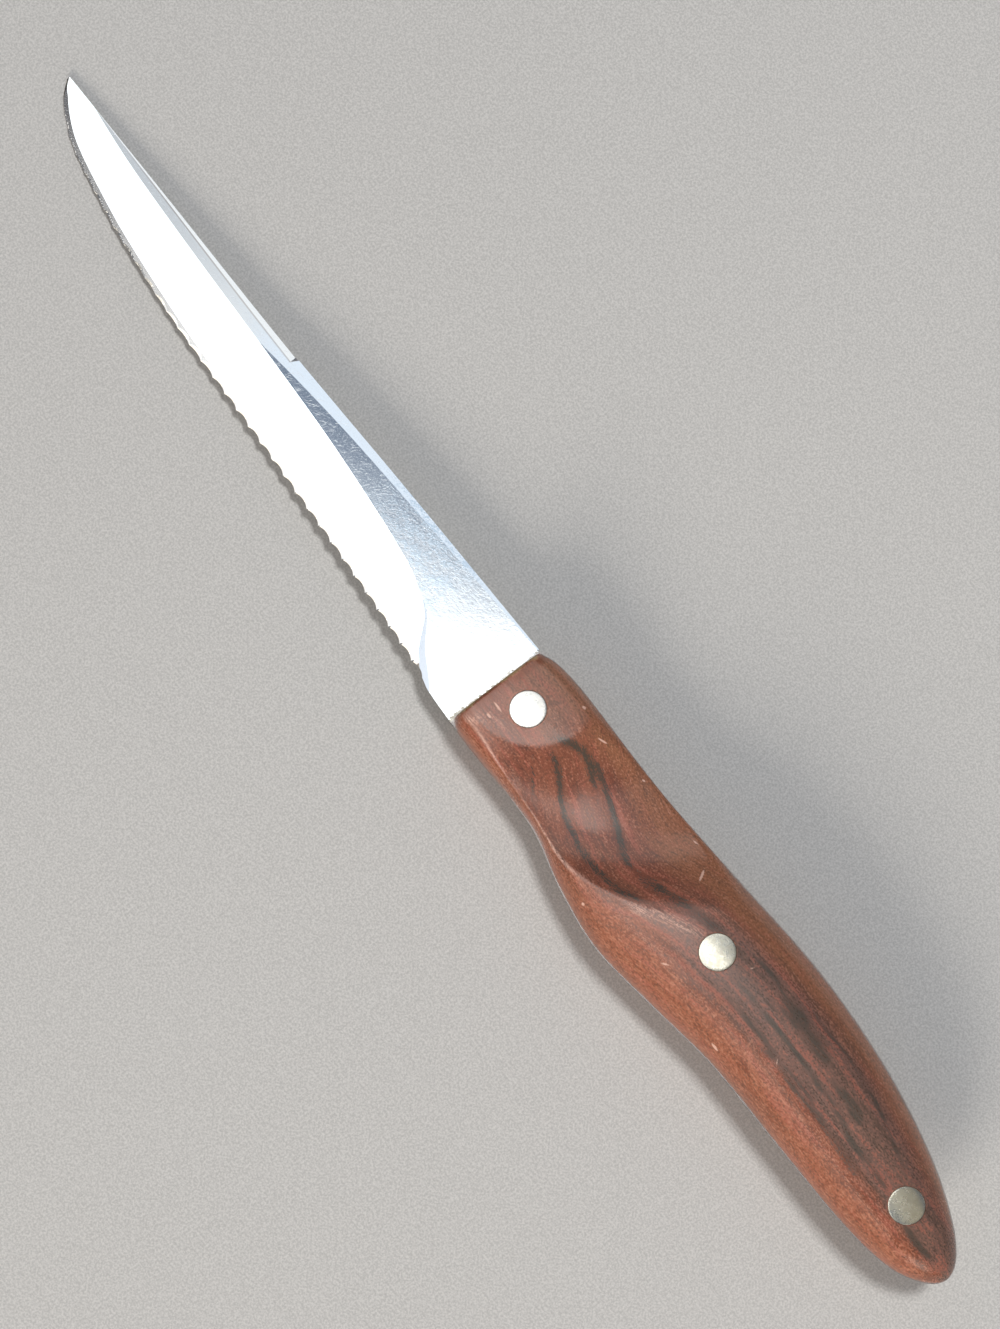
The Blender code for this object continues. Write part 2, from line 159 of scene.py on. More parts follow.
def handle_sides(x):
    """Where the outline of the handle lies at x: on the side of the spine, and on the side of the edge."""
    share = -x / HANDLE_LENGTH
    return HANDLE_WIDTH * spine_side_share(share), HANDLE_WIDTH * edge_side_share(share)


def blade_y(share_of_depth):
    return BLADE_DEPTH * share_of_depth - SPINE_OFFSET


def ramp(value, low, high):
    """0 at low and 1 at high, smooth between."""
    t = min(max((value - low) / (high - low), 0.0), 1.0)
    return t * t * (3 - 2 * t)


def scallop_lift(x):
    """How far the edge stands in from the line through the points of the scallops."""
    along = (x - SCALLOP_START) / SCALLOP_PITCH
    if not 0 <= along <= SCALLOP_COUNT:
        return 0.0
    offset = (along - math.floor(along) - 0.5) * SCALLOP_PITCH
    at_point = math.sqrt(SCALLOP_RADIUS ** 2 - SCALLOP_PITCH ** 2 / 4)
    depth = math.sqrt(SCALLOP_RADIUS ** 2 - offset ** 2) - at_point
    return depth * (1 - SHALLOW_SHARE * ramp(x, SHALLOW_START, SHALLOW_END))


def false_edge(x):
    """Width of the false edge at x, and how far its grind has lowered the spine."""
    start = min(max((x - FALSE_EDGE_START) / FALSE_EDGE_NICK, 0.0), 1.0)
    run = max((FALSE_EDGE_END - x) / (FALSE_EDGE_END - FALSE_EDGE_START), 0.0)
    return FALSE_EDGE_WIDTH * start * run, FALSE_EDGE_DROP * start * run


def blade_ring(x):
    """Points round the blade at x, each with a flag for a crisp line: along the upper face, then back below.

    They stay some least steps apart, so that no face of the mesh closes up.
    """
    share = x / BLADE_LENGTH
    half = BLADE_STOCK / 2
    strip, drop = false_edge(x)
    spine = blade_y(spine_share(share)) + drop
    points = max(blade_y(edge_share(share)), spine + 12 * LEAST_STEP)
    edge = points - scallop_lift(x)
    top = blade_y(bevel_share(share))
    plunge = blade_y(plunge_share(share)) if share < PLUNGE_END_SHARE else top
    grind = min(max(top, plunge, spine + 4 * LEAST_STEP), edge - 6 * LEAST_STEP)
    back_line = blade_y(facet_share(share))

    def unground(y):
        return half - math.tan(BACK_FACET_ANGLE) * max(back_line - y, 0.0)

    slope = max((unground(top) - EDGE_HALF_THICKNESS) / max(points - top, LEAST_STEP), 0.0)
    ahead = blade_y(plunge_share(share + PLUNGE_STEP))
    steepness = (plunge - ahead) / (PLUNGE_STEP * BLADE_LENGTH) if plunge > top else 0.0
    wall = math.tan(PLUNGE_ANGLE) / math.hypot(1, steepness)

    def face(y):
        if y <= grind:
            return unground(y)
        ground = unground(top) - slope * (y - top)
        if plunge > top:
            ground = max(ground, half - wall * (y - grind))
        return max(min(ground, unground(y)), EDGE_LAND)

    foot = grind
    if plunge > top:
        foot = (half - unground(top) + wall * grind - slope * top) / max(wall - slope, LEAST_STEP)
    foot = min(max(foot, grind + LEAST_STEP), edge - 5 * LEAST_STEP)
    edge_half = face(edge)
    honed = ramp(x, HEEL_START, SCALLOP_START)
    apex = edge_half + (EDGE_LAND - 2 * edge_half) * honed
    hone = math.tan(HONED_ANGLE)
    hollow = math.tan(SCALLOP_ANGLE)
    honed_top = points - min(HONED_WIDTH * honed, HONED_SHARE * (points - spine))
    scallop_top = (apex + hollow * edge - face(honed_top) - hone * honed_top) / (hollow - hone)
    if scallop_top < honed_top:
        scallop_top = edge - (edge_half - apex) / (hollow - slope)
    scallop_top = min(max(scallop_top, foot + 2 * LEAST_STEP), edge - LEAST_STEP)
    honed_top = min(max(honed_top, foot + LEAST_STEP), scallop_top - LEAST_STEP)
    scallop_height = min(face(honed_top) - hone * (scallop_top - honed_top), face(scallop_top))
    facet = min(max(back_line, spine + 3 * LEAST_STEP), grind - LEAST_STEP)
    strip_foot = min(spine + max(strip, LEAST_STEP), facet - LEAST_STEP)
    spine_height = unground(spine) - math.tan(FALSE_EDGE_ANGLE) * strip
    columns = [foot + (honed_top - foot) * i / BEVEL_COLUMNS for i in range(1, BEVEL_COLUMNS)]
    upper = [(spine, spine_height, True)]
    upper += [(y, face(y), True) for y in (strip_foot, facet, grind, foot)]
    upper += [(y, face(y), False) for y in columns]
    upper += [(honed_top, face(honed_top), True), (scallop_top, scallop_height, True)]
    upper += [(edge, min(apex, scallop_height), True)]
    lower = [(edge, -edge_half, True)]
    lower += [(y, -face(y), False) for y in reversed(columns)]
    lower += [(y, -face(y), True) for y in (foot, grind, facet, strip_foot)]
    lower += [(spine, -spine_height, True)]
    return [(Vector((x, y, z)), crisp) for y, z, crisp in upper + lower]


HEEL_RING = blade_ring(0.0)
# How many points of a ring lie above, and which are the false edge's foot and the tops of hone and scallop
UPPER_COUNT = BEVEL_COLUMNS + 7
STRIP_FOOT = 1
HONED_TOP = BEVEL_COLUMNS + 4
SCALLOP_TOP = HONED_TOP + 1


def tang_ring(x):
    """Points round the flat tang, with as many as the blade's ring has. Its outline is the handle's."""
    near, far = handle_sides(x)
    heel = [point.y for point, crisp in HEEL_RING]
    fade = min(-x / SHOULDER_BLEND, 1.0)
    near = (near + GROUND_FLUSH) * fade + min(heel[0], near) * (1 - fade)
    far = (far - GROUND_FLUSH) * fade + max(heel[UPPER_COUNT], far) * (1 - fade)
    ring = []
    for i, y in enumerate(heel):
        across = near + (far - near) * (y - heel[0]) / (heel[UPPER_COUNT] - heel[0])
        height = BLADE_STOCK / 2 if i < UPPER_COUNT else -BLADE_STOCK / 2
        ring.append((Vector((x, across, height)), HEEL_RING[i][1]))
    return ring


def skin(bm, rings):
    """Faces between rings of equally many points, and over both ends."""
    count = len(rings[0])
    for ring, following in zip(rings, rings[1:]):
        for i in range(count):
            j = (i + 1) % count
            bm.faces.new((ring[i], ring[j], following[j], following[i]))
    bm.faces.new(rings[0])
    bm.faces.new(rings[-1])


def finished_mesh(name, bm):
    bmesh.ops.recalc_face_normals(bm, faces=bm.faces)
    mesh = bpy.data.meshes.new(name)
    bm.to_mesh(mesh)
    bm.free()
    return mesh


def angled_edges(mesh):
    """Edges at which two faces meet at more than the sharp angle."""
    normals = {}
    for face in mesh.polygons:
        for key in face.edge_keys:
            normals.setdefault(key, []).append(face.normal)
    keys = set()
    for key, pair in normals.items():
        if len(pair) == 2 and pair[0].angle(pair[1], 0) > SHARP_ANGLE:
            keys.add(key)
    return [edge for edge in mesh.edges if edge.key in keys]


def solid_through(name, rings):
    """A closed mesh through rings of equally many points, with crisp lines along the flagged points."""
    bm = bmesh.new()
    made = [[bm.verts.new(point) for point, crisp in ring] for ring in rings]
    skin(bm, made)
    for i, (point, crisp) in enumerate(rings[0]):
        if crisp:
            for ring, following in zip(made, made[1:]):
                bm.edges.get((ring[i], following[i])).smooth = False
    mesh = finished_mesh(name, bm)
    mesh.shade_smooth()
    for edge in angled_edges(mesh):
        edge.use_edge_sharp = True
    return mesh


def store_marks(mesh, marks):
    """Keep lists of values on the points of a mesh, for its material to read."""
    for name, values in marks.items():
        mesh.attributes.new(name, "FLOAT", "POINT").data.foreach_set("value", values)


def add_piece(name, mesh):
    """Lay a mesh down as the knife lies and show it."""
    mesh.transform(LYING)
    piece = bpy.data.objects.new(name, mesh)
    bpy.context.scene.collection.objects.link(piece)
    return piece


def drill(mesh, profile):
    """Cut the same turned hole at each rivet. Its cutter runs through a profile of (radius, height)."""
    bm = bmesh.new()
    turns = [math.tau * i / DRILL_SIDES for i in range(DRILL_SIDES)]
    for x, y in RIVET_PLACES.values():
        rings = []
        for radius, height in profile:
            places = [(x + radius * math.cos(turn), y + radius * math.sin(turn)) for turn in turns]
            rings.append([bm.verts.new((*place, height)) for place in places])
        skin(bm, rings)
    cutter_mesh = finished_mesh("drill", bm)
    cutter = bpy.data.objects.new("drill", cutter_mesh)
    body = bpy.data.objects.new("drilled", mesh)
    for item in (cutter, body):
        bpy.context.scene.collection.objects.link(item)
    boolean = body.modifiers.new("holes", "BOOLEAN")
    boolean.object = cutter
    boolean.solver = "EXACT"
    drilled = bpy.data.meshes.new_from_object(body.evaluated_get(bpy.context.evaluated_depsgraph_get()))
    drilled.name = mesh.name
    for item in (cutter, body):
        bpy.data.objects.remove(item, do_unlink=True)
    bpy.data.meshes.remove(cutter_mesh)
    return drilled


step = SCALLOP_PITCH / SCALLOP_STEPS
stations = [SCALLOP_START + step * i for i in range(SCALLOP_COUNT * SCALLOP_STEPS + 1)]
plain = BLADE_LENGTH - TIP_BLUNTING - stations[-1]
stations += [stations[-1] + plain * i / TIP_STEPS for i in range(1, TIP_STEPS + 1)]
stations += [SCALLOP_START * i / HEEL_STEPS for i in range(HEEL_STEPS)]
stations += [FALSE_EDGE_START + FALSE_EDGE_NICK * share for share in FALSE_EDGE_RINGS]
rings = [blade_ring(x) for x in sorted(stations, reverse=True)]
quarter = math.pi / 2 / TANG_STEPS
rings += [tang_ring(LEAST_STEP - HANDLE_LENGTH * math.sin(quarter * i)) for i in range(1, TANG_STEPS + 1)]
blade_mesh = solid_through("blade_and_tang", rings)
# How far past three lines each point lies, towards the edge, in millimetres
marks = {"honed": [], "wall": [], "strip": []}
for ring in rings:
    across = [point.y * MILLIMETRES for point, crisp in ring]
    marks["honed"] += [y - across[HONED_TOP] for y in across]
    marks["wall"] += [y - across[SCALLOP_TOP] for y in across]
    marks["strip"] += [y - across[STRIP_FOOT] for y in across]
store_marks(blade_mesh, marks)
hole = RIVET_TUBE_RADIUS + RIVET_EASE
blade_mesh = drill(blade_mesh, ((hole, BLADE_STOCK), (hole, -BLADE_STOCK)))
blade = add_piece("blade_and_tang_steel", blade_mesh)


class Wire:
    """A socket of a material. Operators on wires and numbers add Math nodes."""

    def __init__(self, tree, socket=None):
        self.tree = tree
        self.socket = socket

    def node(self, kind, settings=None, inputs=None, output=0):
        """Add a node, set it up, then feed its sockets. Gives the wire of one output."""
        made = self.tree.nodes.new("ShaderNode" + kind)
        for name, value in (settings or {}).items():
            setattr(made, name, value)
        self.feed(made, inputs or {})
        return Wire(self.tree, made.outputs[output])

    def feed(self, made, inputs):
        for name, value in inputs.items():
            if isinstance(value, Wire):
                self.tree.links.new(value.socket, made.inputs[name])
            else:
                made.inputs[name].default_value = value

    def finish(self, inputs):
        """Feed the material's Principled shader."""
        self.feed(self.tree.nodes["Principled BSDF"], inputs)

    def math(self, operation, first, second=0.0):
        return self.node("Math", {"operation": operation}, {0: first, 1: second})

    def __add__(self, other):
        return self.math("ADD", self, other)

    def __radd__(self, other):
        return self.math("ADD", other, self)

    def __sub__(self, other):
        return self.math("SUBTRACT", self, other)

    def __rsub__(self, other):
        return self.math("SUBTRACT", other, self)

    def __mul__(self, other):
        return self.math("MULTIPLY", self, other)

    def __rmul__(self, other):
        return self.math("MULTIPLY", other, self)

    def step(self, low, high):
        """0 below low and 1 above high, smooth between."""
        sockets = {"Value": self, "From Min": low, "From Max": high}
        return self.node("MapRange", {"interpolation_type": "SMOOTHSTEP"}, sockets)

    def most(self, other):
        return self.math("MAXIMUM", self, other)

    def axis(self, name):
        return self.node("SeparateXYZ", inputs={"Vector": self}, output=name)

    def attribute(self, name):
        """Values that are kept on the points of the mesh."""
        return self.node("Attribute", {"attribute_name": name}, output="Fac")

    def bump(self, strength, distance, height):
        return self.node("Bump", inputs={"Strength": strength, "Distance": distance, "Height": height})

    def blend(self, share, under, over):
        """One colour laid over another by a share."""
        return self.node("Mix", {"data_type": "RGBA"}, {0: share, 6: under, 7: over}, output=2)


def rgba(*channels):
    return (*channels, 1.0)


def start_material(name):
    material = bpy.data.materials.new(name)
    material.use_nodes = True
    return material, Wire(material.node_tree)


def knife_millimetres(graph):
    """Where a point is on the knife, in millimetres from the middle of the handle's front."""
    back = LYING.inverted()
    sockets = {
        "Vector": graph.node("TexCoord", output="Object"),
        "Location": back.translation * MILLIMETRES,
        "Rotation": back.to_euler(),
        "Scale": (MILLIMETRES,) * 3,
    }
    return graph.node("Mapping", inputs=sockets)


def stretched_noise(graph, place, size, angle=0.0, detail=2.0, offset=0.0):
    """Noise with marks of a size (length, width, depth) in millimetres, turned in the plane of the blade."""
    sockets = {"Vector": place, "Location": (offset,) * 3, "Rotation": (0, 0, angle), "Scale": size}
    turned = graph.node("Mapping", {"vector_type": "TEXTURE"}, sockets)
    return graph.node("TexNoise", inputs={"Vector": turned, "Scale": 1.0, "Detail": detail})


STEEL = rgba(0.70, 0.75, 0.79)
STEEL_HAZE = rgba(0.54, 0.63, 0.71)
# Painted dark reflection: the honed band is laid darker toward the tip
HONED_SHADE_STEEL = rgba(0.46, 0.46, 0.46)
# Painted dark line along the crease at the foot of the false edge
CREASE_SHADE_STEEL = rgba(0.42, 0.41, 0.40)
# Painted glint: a whiter steel on the walls of the scallops
SCALLOP_GLINT_STEEL = rgba(0.93, 0.89, 0.81)
# Painted dark reflection on the scallop walls toward the tip
TIP_SHADE_STEEL = rgba(0.12, 0.125, 0.13)
TANG_SATIN = rgba(0.36, 0.345, 0.34)
DIRT = rgba(0.11, 0.088, 0.048)
# Fine scratches: turn from the blade's length, length, width, least noise that shows, and offset of the noise
SCRATCHES = (
    (0.9, 2.6, 0.11, 0.70, 3.0), (0.6, 2.2, 0.1, 0.71, 6.0),
    (1.2, 1.8, 0.1, 0.72, 12.0), (0.1, 9, 0.1, 0.71, 1.0),
)
SCRATCH_SOFTNESS = 0.06
STEEL_ROUGHNESS = 0.06
STEEL_BUMP = 0.00002
STEEL_BUMP_STRENGTH = 0.1
steel, graph = start_material("polished_blade_steel")
place = knife_millimetres(graph)
x = place.axis("X")
y = place.axis("Y")
polish = stretched_noise(graph, place, (14, 0.1, 4), angle=0.04, offset=4.0)
scratches = None
for turn, length, width, low, offset in SCRATCHES:
    noise = stretched_noise(graph, place, (length, width, 4), angle=turn, detail=1.0, offset=offset)
    shown = noise.step(low, low + SCRATCH_SOFTNESS)
    scratches = shown if scratches is None else scratches.most(shown)
speckle = stretched_noise(graph, place, (0.3, 0.2, 1), angle=0.5, offset=11.0)
mottle = stretched_noise(graph, place, (0.6, 0.4, 2), angle=0.5, detail=4.0, offset=6.0)
cloud = stretched_noise(graph, place, (3.0, 1.6, 5), angle=0.3, detail=3.0, offset=7.0)
patchy = 0.35 * cloud + 0.4 * mottle + 0.4 * speckle
near_heel = x.step(42, 30)
haze = patchy.step(0.52, 0.64) * near_heel * x.step(10, 20)
tang = x.step(0.3, -0.3)
past_honed_top = graph.attribute("honed")
past_scallop_top = graph.attribute("wall")
past_strip_foot = graph.attribute("strip")
# The honed band toward the tip, darkened as a painted dark reflection
honed = past_honed_top.step(-0.04, 0.04) * past_scallop_top.step(0.03, 0.0) * x.step(60, 74)
# The crease at the foot of the false edge, darkened as a painted dark line
strip_crease_shade = past_strip_foot.step(-0.1, 0.0) * past_strip_foot.step(0.3, 0.08)
strip_crease_shade = strip_crease_shade * x.step(61, 62.5) * x.step(112, 95)
# The walls of the scallops, laid whiter as a painted glint
scallop = past_scallop_top.step(-0.02, 0.02)
# Scallop walls toward the tip, darkened as a painted dark reflection, with speckled gaps left as glints
tip_shade = x.step(78, 94) * (0.95 - 0.75 * speckle.step(0.53, 0.6))
dirt = (x - 0.035 * y + 1.6 * (mottle - 0.5) + 1.2 * (speckle - 0.5)).step(0.5, 0.25)
colour = graph.blend(haze, STEEL, STEEL_HAZE)
colour = graph.blend(strip_crease_shade * 0.7, colour, CREASE_SHADE_STEEL)
colour = graph.blend(honed * 0.8, colour, HONED_SHADE_STEEL)
colour = graph.blend(scallop, colour, SCALLOP_GLINT_STEEL)
colour = graph.blend(scallop * tip_shade, colour, TIP_SHADE_STEEL)
colour = graph.blend(dirt * 0.8, colour, DIRT)
colour = graph.blend(tang, colour, TANG_SATIN)
roughness = STEEL_ROUGHNESS + 0.03 * polish + 0.07 * speckle.step(0.5, 0.7) + 0.06 * haze
roughness = roughness + 0.2 * scratches + 0.33 * tang + 0.16 * honed
relief = polish * 0.3 + (0.5 + 1.6 * near_heel) * (mottle + 0.8 * cloud) + speckle * 0.3 - scratches * 0.45
graph.finish({
    "Base Color": colour,
    "Metallic": 1.0,
    "Roughness": roughness,
    "Normal": graph.bump(STEEL_BUMP_STRENGTH, STEEL_BUMP, relief),
})
blade.data.materials.append(steel)
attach(blade, "root")
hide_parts("blade_and_tang")

# Scales: two mirrored slabs of dense reddish brown wood, glued to the tang and riveted, and shaped by hand:
# a flat land round the front rivet, a thumb hollow behind it that ends in a crest, and a swell for the palm.
# The surface is worn satin, with pale nicks and rubbed places, and dirt along the front edge. The pale rubs
# on the crest and the front corner and along the rim of the hollow are partly painted highlights, and the
# grey of the swell's core is partly a painted sheen.
SCALE_HEIGHT = 0.0084
BUTT_ROUNDING = 0.012
FRONT_ROUNDING = 0.0007
WORN_BACK = 0.0002
WORN_START = 0.008
WORN_END = 0.025
FRONT_SLANT = 0.031
SLANT_LENGTH = 0.006
GLUE_LINE = 0.00001
LAND_HEIGHT = 0.0054
LAND_RADIUS = 0.0118
LAND_SOFTNESS = 0.0007
LAND_CENTRE = Vector((-0.0032, -0.0055))
HOLLOW_DEPTH = 0.0018
HOLLOW_FALL = 0.012
HOLLOW_CENTRE = Vector((-0.03, -0.0001))
HOLLOW_RADIUS = 0.0165
HOLLOW_ANGLE = math.radians(50)
HOLLOW_REACH = 0.016
ROLL_LINE = 0.002
ROLL_RADIUS = 0.06
SCOOP_LINE = 0.0035
SCOOP_RADIUS = 0.036
CREASE_SOFTNESS = 0.0002
SPINE_SOFTNESS = 0.0014
CREST_START = 0.03
CREST_END = 0.045
SOFTENING_START = 0.3
CREST_SOFTENING = 0.45
SOFTENING_SPAN = 0.8
RIVET_HEAD_RADIUS = 0.003
RIVET_RING = 0.00004
HEAD_SEAT = 0.0026
SCALE_STEPS = 300
FRONT_STEPS = 10
FRONT_CLEARANCE = 1.4
SCALE_COLUMNS = 110
DRILL_TOP = 2 * SCALE_HEIGHT

# Shares of the handle's length from its front, with shares of the scale's height and powers of its section
swell_share = smooth_curve((
    (0, 0.72), (0.12, 0.74), (0.25, 0.82), (0.38, 0.94), (0.5, 1),
    (0.62, 0.98), (0.75, 0.89), (0.88, 0.77), (1, 0.66),
))
squareness = smooth_curve(((0, 3.2), (0.25, 2.8), (0.45, 2.3), (1, 2.2)))


def end_rounding(distance, radius):
    """A quarter ellipse that rises from 0 at an end to 1 at the radius."""
    run = min(max(distance / radius, 0.0), 1.0)
    return math.sqrt(1 - (1 - run) ** 2)


def scale_sides(x):
    near, far = handle_sides(x)
    worn = WORN_BACK * ramp(-x, WORN_START, WORN_END)
    return near + worn, far - worn


def crown_height(x, y):
    """Height of the plain rounded scale above the tang."""
    near, far = scale_sides(x)
    side = (2 * y - near - far) / (far - near)
    power = squareness(-x / HANDLE_LENGTH)
    round_over = max(1 - abs(side) ** power, 0.0) ** (1 / power)
    swell = SCALE_HEIGHT * swell_share(-x / HANDLE_LENGTH)
    return swell * end_rounding(HANDLE_LENGTH + x, BUTT_ROUNDING) * round_over


def grip_cut(x, y):
    """Height of the sculpted surface on the handle's front: the flat land, its fall and the thumb hollow."""
    place = Vector((x, y))
    beyond = (place - LAND_CENTRE).length - LAND_RADIUS
    outside = (beyond + math.hypot(beyond, LAND_SOFTNESS)) / (2 * HOLLOW_FALL)
    roll = max(ROLL_LINE - y, 0.0) ** 2 / (2 * ROLL_RADIUS)
    scoop = max(y - SCOOP_LINE, 0.0) ** 2 / (2 * SCOOP_RADIUS)
    fall = (HOLLOW_DEPTH + roll - scoop) * (1 - max(1 - outside, 0.0) ** 2)
    back = Vector((-math.cos(HOLLOW_ANGLE), -math.sin(HOLLOW_ANGLE)))
    along = max((place - HOLLOW_CENTRE).dot(back) - HOLLOW_REACH, 0.0)
    climb = max((place - HOLLOW_CENTRE).dot(Vector((back.y, -back.x))), 0.0)
    return LAND_HEIGHT - fall + (climb ** 2 + along ** 2) / (2 * HOLLOW_RADIUS)


def scale_height(x, y):
    """Height of the finished scale above the tang."""
    near, far = scale_sides(x)
    side = (2 * y - near - far) / (far - near)
    rear = ramp(-x, CREST_START, CREST_END)
    spine_part = min(max((SOFTENING_START + CREST_SOFTENING * rear - side) / SOFTENING_SPAN, 0.0), 1.0)
    softness = CREASE_SOFTNESS + (SPINE_SOFTNESS - CREASE_SOFTNESS) * spine_part
    crown = crown_height(x, y)
    cut = grip_cut(x, y)
    overlap = max(softness - abs(crown - cut), 0.0)
    height = min(crown, cut) - overlap ** 2 / (4 * softness)
    front = FRONT_ROUNDING * (1 - end_rounding(-x, FRONT_ROUNDING))
    return max(height - front * min(height / LAND_HEIGHT, 1.0), 0.0)


def scale_ring(x, side):
    """Points over a scale at x, from one side of the tang to the other. The front ones stand on a slant."""
    near, far = scale_sides(x)
    power = squareness(-x / HANDLE_LENGTH)
    base = BLADE_STOCK / 2 + GLUE_LINE
    ring = [(Vector((x, near, side * base)), True)]
    for i in range(1, SCALE_COLUMNS):
        angle = math.pi * i / SCALE_COLUMNS
        across = -math.copysign(abs(math.cos(angle)) ** (2 / power), math.cos(angle))
        y = (near + far) / 2 + (far - near) / 2 * across
        ring.append((Vector((x, y, side * (base + scale_height(x, y)))), False))
    ring.append((Vector((x, far, side * base)), True))
    for point, crisp in ring:
        point.x -= FRONT_SLANT * (far - point.y) * max(1 + x / SLANT_LENGTH, 0.0) ** 2
    return ring


# Dark lines of the figure, in millimetres: half width, depth of colour, then (inset from front, y) along each
STREAKS = (
    (0.60, 1.0, (
        (10.6, -0.6), (12.6, -1.5), (15.0, -2.8), (17.2, -3.5), (19.5, -3.1), (22.9, -1.7), (24.5, -1.2),
    )),
    (0.50, 1.0, (
        (17.5, -4.4), (19.5, -4.1), (24.2, -2.7), (29.6, -0.4), (32.4, 0.9), (35.5, 2.0), (38.2, 2.6),
    )),
    (0.50, 0.8, (
        (12.5, -0.2), (14.2, 0.3), (16.8, 1.3), (18.7, 2.4), (21.1, 4.0), (23.7, 5.3), (27.0, 6.1),
        (30.4, 6.7), (35.3, 6.6), (39.0, 5.8), (43.5, 3.5),
    )),
    (0.30, 0.7, ((12.0, 2.6), (13.0, 3.4), (15.6, 5.3), (17.4, 6.8), (20.4, 8.8))),
    (0.70, 0.7, ((36.5, 2.6), (41.3, 1.1), (45.5, -0.1), (50.5, -1.4), (54.5, -2.6))),
    (0.35, 0.85, ((58.0, -3.2), (61.5, -3.8), (64.5, -4.0), (67.9, -3.3), (71.5, -2.8))),
    (1.05, 0.9, ((66.5, -3.4), (71.5, -2.8), (74.4, -2.9), (77.1, -2.7), (80.5, -2.2))),
    (0.75, 0.85, ((81.5, -1.0), (85.7, -0.9), (87.9, -0.7), (91.5, -0.2))),
    (0.36, 0.95, (
        (58.5, 1.4), (62.1, 0.9), (67.3, 0.7), (72.5, 0.5), (76.3, 0.8), (83.9, 1.3), (87.7, 1.6),
        (90.8, 2.6),
    )),
    (0.42, 1.0, ((87.0, 1.6), (90.8, 2.6), (94.0, 2.7), (97.1, 2.8), (103.0, 3.6))),
    (0.50, 1.0, ((105.5, 4.4), (109.4, 4.9), (115.0, 4.6))),
    (0.30, 0.6, ((58.8, 4.2), (63.9, 3.7), (69.0, 3.3), (74.6, 3.4), (79.5, 3.4), (88.0, 4.4))),
    (0.40, 0.55, ((69.5, 4.8), (74.5, 4.2), (82.2, 4.6), (88.4, 4.8), (97.5, 5.7))),
    (0.26, 0.6, (
        (69.1, -5.2), (78.1, -5.2), (82.7, -5.1), (87.0, -4.5), (91.5, -3.6), (96.0, -2.2), (102.5, -0.2),
    )),
)
# Pale rubbed places on the crest, the front corner and the land by the front rivet, in the same form. Those
# on the crest and the front corner are partly painted highlights.
RUBS_AND_HIGHLIGHTS = (
    (0.75, 1.0, (
        (39.5, 6.8), (41.3, 6.1), (42.7, 5.4), (44.6, 4.1), (47.0, 2.7), (49.3, 1.75), (51.7, 0.6),
        (53.0, 0.0),
    )),
    (0.80, 1.0, ((-2.7, 9.6), (0.3, 8.8), (1.2, 8.0), (2.4, 6.6), (5.0, 5.4))),
    (0.45, 0.7, ((8.3, -1.3), (10.4, -1.8), (12.3, -2.0), (13.6, -2.1))),
    (0.50, 0.5, ((0.5, 5.6), (3.2, 4.6), (5.0, 4.2), (6.7, 3.7), (9.5, 2.6))),
)
LINE_TAPER = 3.0
LINE_END_WIDTH = 0.35
WEAR_AND_HIGHLIGHT_SIDE = (2, 6)
# Along the handle, in millimetres from its front: how far the grain swings aside, where the flank beside the
# edge and the back beside the spine begin, and how much and how widely the rim of the hollow is worn, partly
# as a painted highlight along its crease
drift = smooth_curve((
    (0, 0), (10, 0), (16, 0.8), (21, 2.8), (27, 5), (33, 6.6), (37, 6.6), (43, 4.2), (50, 1.8), (58, 0.4),
    (70, 0), (119, 0),
))
flank_line = smooth_curve((
    (0, 8.4), (5, 8), (10, 8.3), (15, 8.9), (21, 9.5), (28, 10.3), (34, 9.6), (40, 8), (47, 7.2), (55, 6.8),
    (65, 6.2), (80, 6), (100, 6.5), (119, 6.5),
))
back_line = smooth_curve((
    (0, -7), (15, -6.5), (30, -4.5), (40, -2.5), (50, -4.5), (60, -6), (75, -7), (90, -6), (105, -3),
    (119, 0),
))
wear_and_highlight_share = smooth_curve((
    (0, 0), (5, 0.6), (9, 0.75), (12, 0.3), (19, 0.25), (23, 0.8), (28, 0.9), (32, 0.4), (36, 0), (119, 0),
))
wear_and_highlight_width = smooth_curve(((0, 0.07), (8, 0.07), (25, 0.2), (34, 0.3), (119, 0.3)))


def line_field(lines):
    """A function of a place in millimetres: how deep it lies in the nearest of some tapering lines."""
    curves = []
    for half, depth, points in lines:
        curves.append((half, depth, points[0][0], points[-1][0], smooth_curve(points)))

    def depth_at(inset, y):
        deepest = 0.0
        for half, depth, start, end, curve in curves:
            if start < inset < end:
                taper = min((inset - start) / LINE_TAPER, (end - inset) / LINE_TAPER, 1.0)
                width = half * (LINE_END_WIDTH + (1 - LINE_END_WIDTH) * taper)
                away = abs(y - curve(inset)) / width
                deepest = max(deepest, depth * taper * max(1 - away * away / 4, 0.0) ** 2)
        return deepest

    return depth_at


streak_depth = line_field(STREAKS)
rub_and_highlight_depth = line_field(RUBS_AND_HIGHLIGHTS)


def wood_marks(mesh):
    """Where each point of a scale lies in the wood's figure, its wear and its painted highlights."""
    marks = {"layer": [], "streak": [], "rub_and_highlight": [], "flank": [], "back": [], "worn": []}
    for vertex in mesh.vertices:
        x, y = vertex.co.xy
        inset = -x * MILLIMETRES
        across = y * MILLIMETRES
        fold = abs(crown_height(x, y) - grip_cut(x, y)) * MILLIMETRES
        wear_and_highlight = wear_and_highlight_share(inset) * ramp(across, *WEAR_AND_HIGHLIGHT_SIDE)
        marks["layer"].append(across - drift(inset))
        marks["streak"].append(streak_depth(inset, across))
        marks["rub_and_highlight"].append(rub_and_highlight_depth(inset, across))
        marks["flank"].append(across - flank_line(inset))
        marks["back"].append(back_line(inset) - across)
        # Wear along the crease of the hollow's rim, partly a painted highlight
        marks["worn"].append(wear_and_highlight * math.exp(-(fold / wear_and_highlight_width(inset)) ** 2))
    return marks


